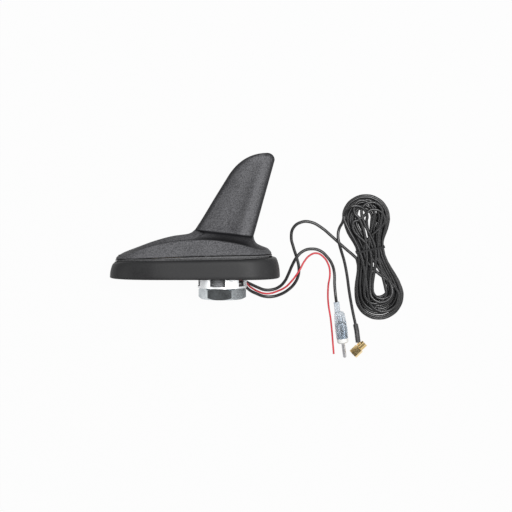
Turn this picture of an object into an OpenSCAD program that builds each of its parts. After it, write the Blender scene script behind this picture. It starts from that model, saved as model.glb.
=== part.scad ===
// Shark fin roof aerial with its clamp collar, nut, leads and plugs.
// The aerial is drawn upright about its stud: x runs to the tail, z up the fin, and z = 0 is
// the roof face under the gasket. It then lies on one flank, with its leads on the same surface.

/* [Gasket] */
// Length from the stud's axis to the nose of the gasket
base_front = 100; // [94:1:106]
// Length from the stud's axis to the tail of the gasket
base_rear = 51.5; // [48:0.5:56]
// Width of the gasket at its foot
base_w = 66; // [62:1:74]
// Lean of the gasket's flanks, in degrees
skirt_draft = 4; // [2:0.5:6]
// Height of the gasket's shoulder at the stud
skirt_h = 17.4; // [15:0.2:19]
// Thickness of the gasket's web under the base plate
web_t = 4; // [3:0.5:5]
// Width of the gasket's foot round the hollow underside
foot_w = 7; // [5:0.5:9]
// Depth of the hollow underside
foot_recess = 1.2; // [0.6:0.2:2]

/* [Cover] */
// Length by which the cover's nose stands in from the gasket's
nose_in = 5.2; // [5:0.2:8]
// Length by which the cover's tail stands in from the gasket's
tail_in = 7.5; // [6:0.5:9]
// Width by which each of the cover's flanks stands in from the gasket's foot
side_in = 5; // [4:0.5:7]
// Height of the cover's rim at its tail
rim_h = 21.6; // [21:0.2:24]
// Drop of the rim from tail to nose
rim_drop = 4.6; // [3:0.2:5]
// Wall of the moulded cover
cover_wall = 2.2; // [1.8:0.1:2.6]
// Open joint between the cover's rim and the plinth
rim_gap = 0.7; // [0.4:0.1:0.9]
// Width by which the plinth stands out past the cover
plinth_out = 0.4; // [0.2:0.1:0.8]

/* [Fin] */
// Height of the fin's tip above the roof face
fin_top = 111; // [104:1:120]
// Height of the fin's leading edge where it leaves the hump
fin_root_h = 43; // [41:0.5:45]
// Fall of the hump's crest along the fin, for each unit of length
crest_fall = 0.115; // [0.08:0.005:0.14]
// Place of the leading edge at the fin's root
fin_nose_x = -24; // [-28:0.5:-20]
// Place of the trailing edge at the fin's root
fin_tail_x = 28; // [26:0.5:30]
// Lean of the leading edge, as run for each unit of rise
nose_lean = 0.62; // [0.5:0.01:0.7]
// Lean of the trailing edge, as run for each unit of rise
tail_lean = 0.278; // [0.2:0.01:0.32]
// Thickness of the fin at its root
fin_root_t = 15; // [13:0.5:17]
// Thickness of the fin near its tip
fin_tip_t = 9; // [8:0.5:11]
// Radius of the trailing corner at the tip
tip_r = 6.4; // [5:0.2:8]
// Hollow of the fin's faces, as a share of the thickness
fin_dish = 0.1; // [0:0.02:0.16]

/* [Base plate] */
// Thickness of the plastic base plate's floor
tray_t = 3; // [2.5:0.5:4]
// Thickness of the base plate's rim wall
tray_wall = 2.4; // [2:0.2:3]
// Height of the tongue that locates the cover
tongue_h = 2; // [1.5:0.1:2.4]
// Clearance between parts that slip into each other
fit = 0.25; // [0.15:0.05:0.35]

/* [Stud] */
// Outer diameter of the threaded stud
stud_d = 22; // [20:0.5:23]
// Diameter of the stud's cable bore
stud_bore = 14; // [12:0.5:15]
// Length of the stud below the roof face
stud_l = 18.4; // [17:0.2:18.8]
// Length of the zinc casting's flange
casting_l = 72; // [64:1:78]
// Gap between the casting's flange and the base plate's walls
casting_gap = 2.2; // [1.2:0.2:4]
// Thickness of the zinc casting's flange
casting_t = 3; // [2:0.5:4]
// Width of the cable slot in the stud's side
slot_w = 9; // [8:0.5:10]
// Direction of the cable slot, in degrees from the tail
slot_turn = 44; // [40:1:48]

/* [Collar and nut] */
// Outer diameter of the clamp collar
collar_d = 43.6; // [41:0.2:46]
// Height of the clamp collar
collar_h = 8.7; // [8:0.1:10]
// Wall of the clamp collar
collar_wall = 2.6; // [2:0.2:3.2]
// Thickness of the collar's flange
collar_flange = 1.6; // [1.2:0.1:2]
// Number of windows round the collar
window_n = 5; // [4:1:6]
// Arc of each window, in degrees
window_arc = 37; // [30:1:44]
// Width of the nut across its flats
nut_af = 37; // [34:0.5:40]
// Height of the nut
nut_h = 10.2; // [9:0.2:12]
// Turn of the nut, in degrees
nut_turn = 23.6; // [0:0.2:60]

/* [Electronics] */
// Length from the cover's nose to the circuit board
board_nose_in = 30.8; // [30:0.2:36]
// Length from the cover's tail to the circuit board
board_tail_in = 24; // [23:0.5:28]
// Width by which the circuit board's edges stand in from the casting's
board_side_in = 1; // [0.5:0.5:3]
// Thickness of the circuit board
board_t = 1.6; // [1:0.2:2]
// Height of the pillars that carry the circuit board
pillar_h = 3.5; // [2.5:0.5:4.5]
// Side of the ceramic satellite patch
patch_w = 25; // [20:1:28]
// Thickness of the ceramic satellite patch
patch_t = 4; // [3:0.5:6]
// Thickness of the fin's circuit board
fin_board_t = 1.2; // [0.8:0.2:1.6]
// Number of bars in the fin's folded radiator
radiator_n = 9; // [6:1:11]

/* [Radio plug] */
// Diameter of the clear plug body
plug_d = 11.4; // [10.5:0.1:12.5]
// Length of the clear plug body with its neck
plug_l = 34; // [31:0.5:37]
// Diameter of the plug's white ring
plug_ring_d = 10.3; // [9.5:0.1:11]
// Thickness of the plug's white ring
plug_ring_t = 4.4; // [3.4:0.2:5]
// Diameter of the plug's pin
plug_pin_d = 3.1; // [2.5:0.1:3.5]
// Length of the plug's pin past the ring
plug_pin_l = 14; // [11:0.5:16]

/* [Satellite connector] */
// Width of the coupling nut across its flats
coupling_af = 8; // [7.5:0.1:8.5]
// Length of the coupling nut
coupling_l = 8; // [7:0.2:9]
// Diameter of the coupling nut's thread
coupling_thread = 6.35; // [6:0.05:6.5]
// Diameter of the angled connector body
elbow_d = 6.4; // [5.8:0.1:7]
// Diameter of the shrink sleeve on the lead
sleeve_d = 4.6; // [4.2:0.1:5]

/* [Leads] */
// Diameter of the two coaxial leads
coax_d = 2.8; // [2.4:0.1:3]
// Diameter of the red power wire
wire_d = 1.7; // [1.4:0.1:1.9]
// Height of the tied hank of lead
hank_h = 8.4; // [7:0.2:9]
// Radius of the hank's two loops
hank_r = 22.4; // [20:0.2:24]
// Half width of the hank where it is tied
waist_r = 12.6; // [11:0.2:14]
// Width of the tie's strap
tie_w = 1.8; // [1.4:0.2:4]
// Thickness of the tie's strap
tie_t = 1; // [0.8:0.1:1.2]

/* [Hidden] */

// Steps round each quarter of an outline, and along each flank
quarter_n = 6;
flank_n = 5;
half_n = 2 * quarter_n + flank_n + 1;
ring_n = 2 * half_n - 2;

// The cover stands in from the gasket all round, and its ends are rounded in step with the gasket's
base_half = base_w / 2;
hump_front = base_front - nose_in;
hump_rear = base_rear - tail_in;
hump_half = base_half - side_in;
skirt_nose_l = 50;
skirt_tail_l = 34;
hump_nose_l = skirt_nose_l - nose_in + 0.2;
hump_tail_l = skirt_tail_l - tail_in - 0.5;
tray_top = web_t + tray_t;
casting_top = tray_top + casting_t;
board_z = casting_top + pillar_h;
board_top = board_z + board_t;

// Lying frame: the flank rests on the surface, and the origin is the middle of the body's box
lift = base_half * cos(skirt_draft);
nut_bottom = collar_h + nut_h;
nut_corner = nut_af / sqrt(3);
lay_x = (base_front - base_rear) / 2;
lay_top = fin_top * cos(skirt_draft);
lay_bottom = nut_bottom * cos(skirt_draft) + nut_corner * sin(skirt_draft);
lay_y = (lay_bottom - lay_top) / 2;

function lerp(a, b, t) = a + (b - a) * t;
function clamp01(t) = max(0, min(1, t));

// Closed outline from the nose round: two rounded ends and two flanks, which may be hollow
function outline(nose, tail, half, nose_l, tail_l, nose_p, tail_p, dish = 0) =
    let (side = concat(
        [for (i = [0:quarter_n - 1]) let (a = 90 * i / quarter_n)
            [nose + nose_l * (1 - cos(a) ^ (2 / nose_p)), half * sin(a) ^ (2 / nose_p)]],
        [for (i = [0:flank_n]) let (t = i / flank_n)
            [lerp(nose + nose_l, tail - tail_l, t), half * (1 - dish * sin(180 * t))]],
        [for (i = [quarter_n - 1:-1:0]) let (a = 90 * i / quarter_n)
            [tail - tail_l * (1 - cos(a) ^ (2 / tail_p)), half * sin(a) ^ (2 / tail_p)]]))
    concat(side, [for (i = [half_n - 2:-1:1]) [side[i].x, -side[i].y]]);

// Faces between rings of n points each, ring after ring from first to last
function wall_faces(n, first, last, flip = false) =
    [for (j = [first:last - 1]) for (k = [0:n - 1])
        let (a = j * n + k, b = j * n + (k + 1) % n, c = b + n, d = a + n)
        each (flip ? [[a, b, c], [a, c, d]] : [[c, b, a], [d, c, a]])];
function ring_face(n, j, flip = false) =
    [for (k = [0:n - 1]) flip ? j * n + n - 1 - k : j * n + k];

// Closed solid through a stack of rings, which rise with their points running nose, far side, tail
module loft(rings) {
    n = len(rings[0]);
    last = len(rings) - 1;
    polyhedron([for (r = rings) each r],
        concat(wall_faces(n, 0, last, true), [ring_face(n, 0, true)], [ring_face(n, last)]));
}

// Cover: the rim falls to the nose, and the crest falls along the fin to the tail
function rim_z(x) = rim_h - rim_drop * ((hump_rear - x) / (hump_front + hump_rear)) ^ 2;
function crest_z(x) = fin_root_h - crest_fall * (x - fin_nose_x);

// Rim of the cover, drawn in by the given amount
function rim_outline(inset) = outline(inset - hump_front, hump_rear - inset, hump_half - inset,
    hump_nose_l, hump_tail_l, 2.3, 2.4);

// Section of the hump from rim to fin, as shares of the way in and of the way up
side_curve = [[0, 0], [0.03, 0.2], [0.07, 0.4], [0.115, 0.55], [0.19, 0.645],
    [0.33, 0.71], [0.6, 0.8], [0.84, 0.89], [1, 1]];
nose_curve = [[0, 0], [0.012, 0.06], [0.035, 0.1], [0.1, 0.21], [0.25, 0.37],
    [0.48, 0.6], [0.71, 0.77], [0.92, 0.855], [1, 1]];
tail_curve = [[0, 0], [0.04, 0.1], [0.12, 0.2], [0.22, 0.3], [0.38, 0.37],
    [0.6, 0.46], [0.82, 0.58], [0.95, 0.77], [1, 1]];
// The shoulder sinks towards the tail
shoulder_sink = 0.35;

function hump_ring(j, inset) =
    let (rim = rim_outline(inset), root = fin_ring(0, inset), span = hump_front + hump_rear)
    [for (k = [0:ring_n - 1])
        let (b = rim[k], r = root[k], w = clamp01(abs(b.y) / (hump_half - inset)) ^ 1.5,
            end = b.x < 0 ? nose_curve[j] : tail_curve[j],
            sink = 1 + shoulder_sink * clamp01((b.x + hump_front - hump_nose_l) / (span / 2)),
            h = lerp(end[0], side_curve[j][0], w),
            v = lerp(end[1], side_curve[j][1] ^ sink, w),
            foot = rim_z(b.x))
        [lerp(b.x, r.x, h), lerp(b.y, r.y, h), lerp(foot, r.z, v)]];

// Fin: edges and thickness at a height
crown_z = fin_top - 21;
crown_x = fin_nose_x + nose_lean * (crown_z - fin_root_h);
corner_z = fin_top - tip_r;
function trail_x(z) = fin_tail_x + tail_lean * (z - crest_z(fin_tail_x));
tip_x = trail_x(corner_z) - tip_r;
crown_top_x = crown_x + nose_lean * (fin_top - crown_z);
tip_round = 10;
function crown_edge(u) = u ^ 2 * crown_x + 2 * u * (1 - u) * crown_top_x + (1 - u) ^ 2 * tip_x;
function lead_edge(z) = z < crown_z ? fin_nose_x + nose_lean * (z - fin_root_h)
    : crown_edge(sqrt((fin_top - z) / (fin_top - crown_z)));
function trail_edge(z) = z < corner_z ? trail_x(z) : tip_x + sqrt(tip_r ^ 2 - (z - corner_z) ^ 2);
function fin_half(z) =
    lerp(fin_root_t, fin_tip_t, (z - fin_root_h) / (fin_top - fin_root_h)) / 2
    * sqrt(1 - max(0, (z - fin_top + tip_round) / tip_round) ^ 2 * 0.8);

// One ring of the fin at a share of its height; the lowest rings follow the crest's fall
fin_steps = [0, 0.07, 0.19, 0.34, 0.5, 0.65, 0.77, 0.86, 0.93, 0.97, 0.993];
fall_end = 0.35;
function fin_ring(j, inset) =
    let (f = fin_steps[j], z = lerp(fin_root_h, fin_top, f),
        fall = crest_fall * max(0, 1 - f / fall_end),
        tail_z = z - fall * (fin_tail_x - fin_nose_x),
        nose = lead_edge(z) + 1.2 * inset, tail = trail_edge(tail_z) - 1.05 * inset,
        chord = tail - nose, half = max(fin_half(z) - inset, 0.6),
        plan = outline(nose, tail, half, min(11, chord * 0.35), min(7, chord * 0.25),
            1.9, 2.2, fin_dish))
    [for (p = plan) [p.x, p.y, z - fall * (p.x - fin_nose_x) - inset * lerp(1, 1.3, f)]];

function cover_rings(inset, last) = concat(
    [for (j = [0:len(side_curve) - 1]) hump_ring(j, inset)],
    [for (j = [1:last]) fin_ring(j, inset)]);

// Screw bosses under the cover's roof: place, and share of the height from rim to crest
boss_nose_in = 22.8;
boss_tail_in = 13;
boss_side_in = 15.5;
boss_front_x = boss_nose_in - hump_front;
boss_rear_x = hump_rear - boss_tail_in;
boss_y = hump_half - boss_side_in;
cover_boss = [[boss_front_x, boss_y, 0.43], [boss_front_x, -boss_y, 0.43],
    [boss_rear_x, boss_y, 0.52], [boss_rear_x, -boss_y, 0.52]];
function boss_top(p) = lerp(rim_z(p.x), min(fin_root_h, crest_z(p.x)), p.z);
boss_r = 3.6;
screw_r = 1.4;
pilot_r = screw_r + 0.05;
cover_screw_l = 10;
pilot_depth = cover_screw_l + 1;
head_r = 3;
head_h = 1.8;
recess_w = 0.7;
// Screws that go down into the casting's pillars and into the base plate
down_head_r = 2.6;
down_head_h = 1.6;
down_screw_l = 4.6;

module fin_cover() {
    outer = cover_rings(0, 10);
    inner = cover_rings(cover_wall, 8);
    outer_last = len(outer) - 1;
    first = len(outer);
    last = first + len(inner) - 1;
    n = ring_n;
    color("#4b4b4f") {
        difference() {
            union() {
                polyhedron([for (r = concat(outer, inner)) each r], concat(
                    wall_faces(n, 0, outer_last, true), [ring_face(n, outer_last)],
                    wall_faces(n, first, last), [ring_face(n, last, true)],
                    [for (k = [0:n - 1]) let (a = k, b = (k + 1) % n, c = b + first * n, d = a + first * n)
                        each [[a, d, c], [a, c, b]]]));
                for (p = cover_boss)
                    translate([p.x, p.y, tray_top + fit])
                        cylinder(h = boss_top(p) - tray_top - fit, r = boss_r, $fn = 24);
            }
            for (p = cover_boss)
                translate([p.x, p.y, tray_top])
                    cylinder(h = pilot_depth, r = pilot_r, $fn = 16);
        }
    }
}

// Solid under a curve along the length, from the underside up
module under_curve(z0, heights) {
    rotate([90, 0, 0])
        linear_extrude(height = 2 * base_w, center = true)
            polygon(concat([[base_rear + 10, z0], [-base_front - 10, z0]],
                [for (p = heights) p]));
}
rim_steps = [for (i = [0:8]) lerp(-base_front - 10, base_rear + 10, i / 8)];
module prism(points, z0, z1) {
    translate([0, 0, z0]) linear_extrude(height = z1 - z0) polygon(points);
}
module rounded_plate(l, w, t, r) {
    for (s = [[l, w - 2 * r], [l - 2 * r, w]])
        translate([-s[0] / 2, -s[1] / 2, 0]) cube([s[0], s[1], t]);
    for (x = [-1, 1], y = [-1, 1])
        translate([x * (l / 2 - r), y * (w / 2 - r), 0]) cylinder(h = t, r = r, $fn = 24);
}

// The casting sits in a window of the base plate, just in front of the rear screws
casting_w = 2 * (hump_half - cover_wall - fit - tray_wall - casting_gap);
casting_x = boss_rear_x - boss_r - 5.4 - casting_l / 2;
window_l = casting_l - 12;
window_w = casting_w - 10;
header_x = 8;
can_x = -19;
can_l = 16;
pillar_r = 3.2;
pillar_x = [can_x - can_l / 2 - 4, header_x + 1];
pillar_y = casting_w / 2 - 6;
casting_screw_x = [casting_x - casting_l / 2 + 3, casting_x + casting_l / 2 - 3];
casting_screw_y = casting_w / 2 - 9;
tongue_front = 56;
tongue_l = 76;

module base_plate() {
    color("#3a3a3d") difference() {
        union() {
            intersection() {
                prism(rim_outline(-plinth_out), web_t, rim_h + 5);
                under_curve(0, [for (x = rim_steps) [x, rim_z(x) - rim_gap]]);
            }
            // The tongue stands inside the cover along its flanks
            intersection() {
                prism(rim_outline(cover_wall + 3 * fit), web_t, rim_h + 5);
                under_curve(0, [for (x = rim_steps) [x, rim_z(x) + tongue_h]]);
                translate([-tongue_front, -base_half, 0]) cube([tongue_l, base_w, 2 * rim_h]);
            }
        }
        prism(rim_outline(cover_wall + fit + tray_wall), tray_top, rim_h + 10);
        translate([casting_x, 0, web_t - 1])
            rounded_plate(window_l + 2 * fit, window_w + 2 * fit, tray_t + 2, 6);
        for (p = cover_boss) translate([p.x, p.y, web_t - 1]) {
            cylinder(h = head_h + 1, r = head_r + fit, $fn = 24);
            cylinder(h = tray_t + 2, r = screw_r + fit, $fn = 24);
        }
        for (x = casting_screw_x, y = [-1, 1])
            translate([x, y * casting_screw_y, casting_top - down_screw_l - 0.8])
                cylinder(h = down_screw_l, r = pilot_r, $fn = 16);
    }
}

// Gasket: flanks lean by the draft, and the nose droops
function shoulder_z(x) = skirt_h + 0.0205 * x
    - 3.3 * (max(0, -x - base_front + 20) / 20) ^ 2 - 0.7 * (max(0, x - base_rear + 16) / 16) ^ 2;
module skirt_shell() {
    // Shares of the shoulder's height, then what the nose and tail draw in, and the edge round
    steps = [[0, 0.6, 0.5, 0.5], [0.06, 0, 0, 0], [0.4, 0.3, 0.3, 0], [0.72, 1.2, 1.4, 0],
        [0.9, 2.2, 2.6, 0], [0.985, 3, 3.4, 0.7], [1, 4, 4.4, 1.9]];
    rings = [for (s = steps)
        let (plan = outline(s[1] - base_front, base_rear - s[2], base_half,
            skirt_nose_l, skirt_tail_l, 2.5, 2.5))
        [for (p = plan) let (z = s[0] * shoulder_z(p.x))
            [p.x, p.y * (1 - (z * tan(skirt_draft) + s[3]) / base_half), z]]];
    ledge = [for (p = rim_outline(-plinth_out - 0.6)) [p.x, p.y, shoulder_z(p.x) + 0.7]];
    throat = [for (p = rim_outline(2)) [p.x, p.y, web_t + 4]];
    loft(concat(rings, [ledge, throat]));
}
pad_r = collar_d / 2 + 2;
seal_r = stud_d / 2 + 2.2;
seal_t = 1.6;
module gasket_skirt() {
    foot = outline(foot_w - base_front, base_rear - foot_w, base_half - foot_w,
        skirt_nose_l - foot_w / 2, skirt_tail_l - foot_w / 2, 2.4, 2.4);
    color("#39393a") difference() {
        skirt_shell();
        prism(rim_outline(-plinth_out - fit), web_t, rim_h + 5);
        difference() {
            prism(foot, -1, foot_recess);
            translate([0, 0, -2]) cylinder(h = 10, r = pad_r, $fn = 48);
        }
        translate([0, 0, -1]) cylinder(h = web_t + 2, r = stud_d / 2 + fit, $fn = 48);
        translate([0, 0, web_t - seal_t]) cylinder(h = seal_t + 1, r = seal_r + seal_t, $fn = 48);
    }
}
module stud_seal() {
    color("#1f1f20") translate([0, 0, web_t - seal_t / 2 - 0.02])
        rotate_extrude($fn = 32) translate([seal_r + fit - 0.2, 0]) circle(r = seal_t / 2 - 0.02, $fn = 16);
}

// Zinc casting: flange in the base plate, hollow threaded stud through the gasket
slot_top = 0.6;
slot_bottom = collar_h - 0.5;
module stud_casting() {
    color("#c9ccd0") difference() {
        union() {
            translate([casting_x, 0, tray_top]) rounded_plate(casting_l, casting_w, casting_t, 7);
            translate([casting_x, 0, web_t]) rounded_plate(window_l, window_w, tray_t, 6);
            translate([0, 0, -stud_l]) cylinder(h = stud_l + web_t, r = stud_d / 2, $fn = 48);
            for (x = pillar_x, y = [-1, 1])
                translate([x, y * pillar_y, casting_top]) cylinder(h = pillar_h, r = pillar_r, $fn = 24);
        }
        translate([0, 0, -stud_l - 1]) cylinder(h = stud_l + casting_top + 2, r = stud_bore / 2, $fn = 48);
        rotate([0, 0, slot_turn]) translate([0, -slot_w / 2, -slot_bottom])
            cube([stud_d, slot_w, slot_bottom - slot_top]);
        for (x = pillar_x, y = [-1, 1])
            translate([x, y * pillar_y, board_top - down_screw_l - 2])
                cylinder(h = down_screw_l + 2, r = pilot_r, $fn = 16);
        for (x = casting_screw_x, y = [-1, 1])
            translate([x, y * casting_screw_y, tray_top - 1]) cylinder(h = 5, r = screw_r + fit, $fn = 16);
    }
}
module cable_grommet() {
    color("#222224") intersection() {
        union() {
            translate([0, 0, -slot_bottom + fit])
                cylinder(h = slot_bottom - slot_top - 2 * fit, r = stud_bore / 2 - fit, $fn = 32);
            rotate([0, 0, slot_turn]) translate([0, -slot_w / 2 + fit, -slot_bottom + fit])
                cube([stud_d, slot_w - 2 * fit, slot_bottom - slot_top - 2 * fit]);
        }
        translate([0, 0, -stud_l]) cylinder(h = stud_l, r = stud_d / 2 + 0.1, $fn = 48);
    }
}

// Collar: a cup with windows, one of which is open for the leads, and toothed walls
collar_r = collar_d / 2;
tooth_n = 30;
tooth_h = 0.9;
module clamp_collar() {
    color("#d9dbdd") difference() {
        translate([0, 0, -collar_h]) cylinder(h = collar_h, r = collar_r, $fn = 72);
        translate([0, 0, collar_flange - collar_h]) cylinder(h = collar_h, r = collar_r - collar_wall, $fn = 72);
        translate([0, 0, -collar_h - 1]) cylinder(h = collar_h, r = stud_d / 2 + 0.3, $fn = 48);
        for (i = [0:window_n - 1]) rotate([0, 0, slot_turn + 360 / window_n * i])
            translate([collar_r - 2 * collar_wall, -collar_r * sin(window_arc / 2), collar_flange - collar_h])
                cube([3 * collar_wall, 2 * collar_r * sin(window_arc / 2), collar_h]);
        for (i = [0:tooth_n - 1]) rotate([0, 0, 360 / tooth_n * i])
            translate([collar_r - 2 * collar_wall, 0, 0]) rotate([45, 0, 0])
                cube([3 * collar_wall, tooth_h * 1.2, tooth_h * 1.2], center = false);
    }
}
module hex_nut() {
    nut_z = -nut_bottom;
    color("#b9bcc0") difference() {
        intersection() {
            translate([0, 0, nut_z]) rotate([0, 0, nut_turn - 90])
                cylinder(h = nut_h, r = nut_corner, $fn = 6);
            // Chamfer on both faces
            translate([0, 0, nut_z]) rotate_extrude($fn = 72) polygon([[0, 0], [nut_af / 2 + 0.2, 0],
                [nut_corner + 0.4, 2], [nut_corner + 0.4, nut_h - 2], [nut_af / 2 + 0.2, nut_h], [0, nut_h]]);
        }
        translate([0, 0, nut_z - 1]) cylinder(h = nut_h + 2, r = stud_d / 2 + 0.1, $fn = 48);
    }
}

// Circuit board on the casting's pillars, and what it carries
board_l = hump_front + hump_rear - board_nose_in - board_tail_in;
board_x = hump_rear - board_tail_in - board_l / 2;
board_w = casting_w - 2 * board_side_in;
module circuit_board() {
    color("#1e5a34") difference() {
        translate([board_x, 0, board_z]) rounded_plate(board_l, board_w, board_t, 4);
        for (x = pillar_x, y = [-1, 1]) translate([x, y * pillar_y, board_z - 1])
            cylinder(h = board_t + 2, r = screw_r + fit, $fn = 16);
    }
}
can_w = 26;
can_h = 4;
module shield_can() {
    color("#c4c6c4") translate([can_x, 0, board_top]) difference() {
        translate([-can_l / 2, -can_w / 2, 0]) cube([can_l, can_w, can_h]);
        translate([-can_l / 2 + 0.4, -can_w / 2 + 0.4, -1]) cube([can_l - 0.8, can_w - 0.8, can_h + 0.6]);
        for (x = [-1, 1], y = [-2:2]) translate([x * 4, y * 4.5, can_h - 1]) cylinder(h = 2, r = 0.8, $fn = 16);
    }
}
module satellite_patch() {
    patch_x = board_x - board_l / 2 + patch_w / 2 + 3;
    color("#b9a58a") translate([patch_x, 0, board_top]) {
        translate([-patch_w / 2, -patch_w / 2, 0]) cube([patch_w, patch_w, patch_t]);
        translate([1.5, 0, patch_t]) cylinder(h = 0.6, r = 1.2, $fn = 16);
    }
}
header_h = 6;
header_l = 24;
module board_header() {
    color("#2b2b2e") translate([header_x, 0, board_top]) difference() {
        translate([-header_l / 2, -3, 0]) cube([header_l, 6, header_h]);
        translate([-header_l / 2 + 1, -fin_board_t / 2 - 0.1, header_h - 2])
            cube([header_l - 2, fin_board_t + 0.2, 3]);
    }
}
// The fin's board stands in from the fin's edges; its foot is in the header, its top corner is cut
foot_in = 1.2;
foot_h = 3;
shoulder_rise = 3;
shoulder_drop = 8;
lead_in = 13;
lead_taper = 10;
trail_in = 8;
tip_in = 14;
tip_w = 7;
tip_cut = [4, 6];
fin_board_z = board_top + header_h - 2;
fin_board_top = fin_top - tip_in;
module fin_board() {
    x0 = header_x - header_l / 2 + foot_in;
    x1 = header_x + header_l / 2 - foot_in;
    shoulder = fin_root_h + shoulder_rise;
    top = fin_board_top;
    back = trail_x(top) - trail_in;
    color("#2a6b3c") rotate([90, 0, 0]) linear_extrude(height = fin_board_t, center = true)
        polygon([[x0, fin_board_z + foot_h], [x0, fin_board_z], [x1, fin_board_z], [x1, fin_board_z + foot_h],
            [x1 + foot_in, shoulder - shoulder_drop],
            [back, top - tip_cut.y], [back - tip_cut.x, top], [back - tip_cut.x - tip_w, top],
            [lead_edge(top - tip_in) + lead_in + lead_taper, top - tip_in],
            [lead_edge(shoulder) + lead_in, shoulder]]);
}
// The radiator is folded foil, whose bars get shorter towards the tip
bar_w = 1.4;
foil_t = 0.3;
bar_half = [10, 5];
bars_in = 8;
fold_in = 1.2;
module fin_radiator() {
    step = (fin_board_top - fin_root_h - 2 * bars_in) / radiator_n;
    color("#b87333") for (i = [0:radiator_n - 1]) {
        z = fin_root_h + bars_in + i * step;
        mid = lerp(header_x, trail_x(fin_top) - tip_in, (z - fin_board_z) / (fin_top - fin_board_z));
        half = lerp(bar_half[0], bar_half[1], i / radiator_n);
        side = i % 2 == 0 ? 1 : -1;
        translate([mid - half, -fin_board_t / 2 - foil_t, z]) cube([2 * half, foil_t, bar_w]);
        if (i < radiator_n - 1)
            translate([mid + side * (half - fold_in) - bar_w / 2 + step * 0.2, -fin_board_t / 2 - foil_t, z])
                cube([bar_w, foil_t, step + bar_w / 2]);
    }
}
// The leads inside run up the stud's bore to the board
inner_lead = [[1.8, -2.6, coax_d], [-2.4, -1.8, wire_d], [0.4, 2.8, coax_d]];
module inner_leads() {
    color("#1b1b1c") for (p = inner_lead)
        translate([p.x, p.y, -slot_top - fit])
            cylinder(h = board_z + slot_top + fit, r = p.z / 2, $fn = 16);
}
module screw(head_radius, head_height, shank_radius, shank_length) {
    difference() {
        cylinder(h = head_height, r = head_radius, $fn = 24);
        for (a = [0, 90]) rotate([0, 0, a]) translate([-head_radius * 0.6, -recess_w / 2, -1])
            cube([head_radius * 1.2, recess_w, 1 + head_height / 2]);
    }
    translate([0, 0, head_height - 0.01]) cylinder(h = shank_length, r = shank_radius, $fn = 16);
}
module cover_screws() {
    color("#8f9296") for (p = cover_boss) translate([p.x, p.y, web_t])
        screw(head_r, head_h - 0.05, screw_r, cover_screw_l);
}
module down_screws(places, y, z) {
    color("#8f9296") for (x = places, s = [-1, 1])
        translate([x, s * y, z + down_head_h]) mirror([0, 0, 1])
            screw(down_head_r, down_head_h, screw_r, down_screw_l);
}
module board_screws() { down_screws(pillar_x, pillar_y, board_top); }
module casting_screws() { down_screws(casting_screw_x, casting_screw_y, casting_top); }

// Leads: each is swept along its own points, in the lying frame
radio_route = [[29.9, -48.4, 24.4], [37.8, -49.1, 16.8], [42.3, -50.2, 13.8], [46.5, -53, 10.8], [51.5, -56, 7.4],
    [56, -58.5, 4.4], [62, -61, 2.6], [69, -61, 1.8], [75.5, -58.5, 1.6], [80.5, -53.5, 1.8], [84, -46.5, 2.5],
    [87.5, -38, 3.8], [92, -30, 4.5], [98, -25, 2.8], [105, -23.5, 1.5], [112.5, -25, 1.5], [119.5, -31, 1.5],
    [124, -38, 1.5], [126, -46, 1.6], [126.2, -56, 3.6], [127, -65.8, 5.7], [127.8, -71.84, 5.7]];
power_route = [[33.3, -48.4, 27.9], [41, -49.2, 20.1], [45, -51.8, 16.8], [48, -55.8, 12.6], [51.3, -58.8, 9.2],
    [55.5, -61.7, 5.8], [61.5, -64.2, 3.2], [67.5, -64.5, 1.6], [74, -62.5, 1.2], [81, -59, 1.6], [86.5, -53.5, 2.8],
    [91, -47.5, 4], [94.5, -42, 4], [98.5, -35, 1.8], [103.5, -29.5, 0.9], [109.5, -27.5, 0.9],
    [115.5, -30.5, 0.9], [120.5, -38, 0.9], [122, -46, 0.9], [120.5, -58, 0.9], [120.5, -72, 0.9],
    [123, -89, 0.9], [126, -121, 0.9]];
satellite_route = [[31.7, -51, 26.1], [39.6, -51.6, 18.5], [43.2, -53.4, 15.5], [46, -57.6, 11.8], [49.5, -61, 8.6],
    [54.5, -64, 5.2], [61.5, -67, 2.6], [69, -67.5, 1.6], [76.5, -65.5, 1.5], [83.5, -61.5, 1.5],
    [89.5, -55.5, 1.5], [93, -48, 1.5], [93.5, -40.5, 1.5], [91.5, -31.5, 1.5], [88.5, -22, 1.5],
    [86.5, -13, 1.5], [88.5, -4, 1.5], [95.5, 1, 1.5], [104.5, 1, 1.5], [114, -4, 1.5], [123.5, -12, 1.5],
    [132.5, -20.2, 1.5], [138, -25, 1.5], [143, -29.3, 1.5], [146.6, -33.4, 1.5]];
tail_route = [[133.2, 1.5, 1.5], [130, -5, 2], [129, -11.5, 3.6], [130, -18, 4.6], [132.3, -26, 3.2],
    [135, -35, 1.6], [137.6, -48, 1.5], [139.5, -61.5, 1.5], [142.5, -78.5, 1.5], [145.6, -93, 2.4]];
sleeve_route = [[145.6, -93, 2.4], [146.8, -98.6, 2.75], [147.5, -104.5, 3.6], [148.2, -109.6, 4]];

function unit(v) = v / norm(v);
module sweep(points, radius, sides) {
    last = len(points) - 1;
    rings = [for (i = [0:last])
        let (t = unit(points[min(i + 1, last)] - points[max(i - 1, 0)]),
            u = unit(cross([0, 0, 1], t)), w = cross(t, u))
        [for (k = [0:sides - 1]) let (a = 360 * k / sides)
            points[i] + radius * (cos(a) * u - sin(a) * w)]];
    loft(rings);
}
module radio_lead() { color("#232325") sweep(radio_route, coax_d / 2, 8); }
module power_wire() { color("#c8323c") sweep(power_route, wire_d / 2, 8); }
module satellite_lead() { color("#232325") sweep(satellite_route, coax_d / 2, 8); }
module lead_tail() { color("#232325") sweep(tail_route, coax_d / 2, 8); }
module shrink_sleeve() { color("#2c2c2e") sweep(sleeve_route, sleeve_d / 2, 10); }

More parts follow.
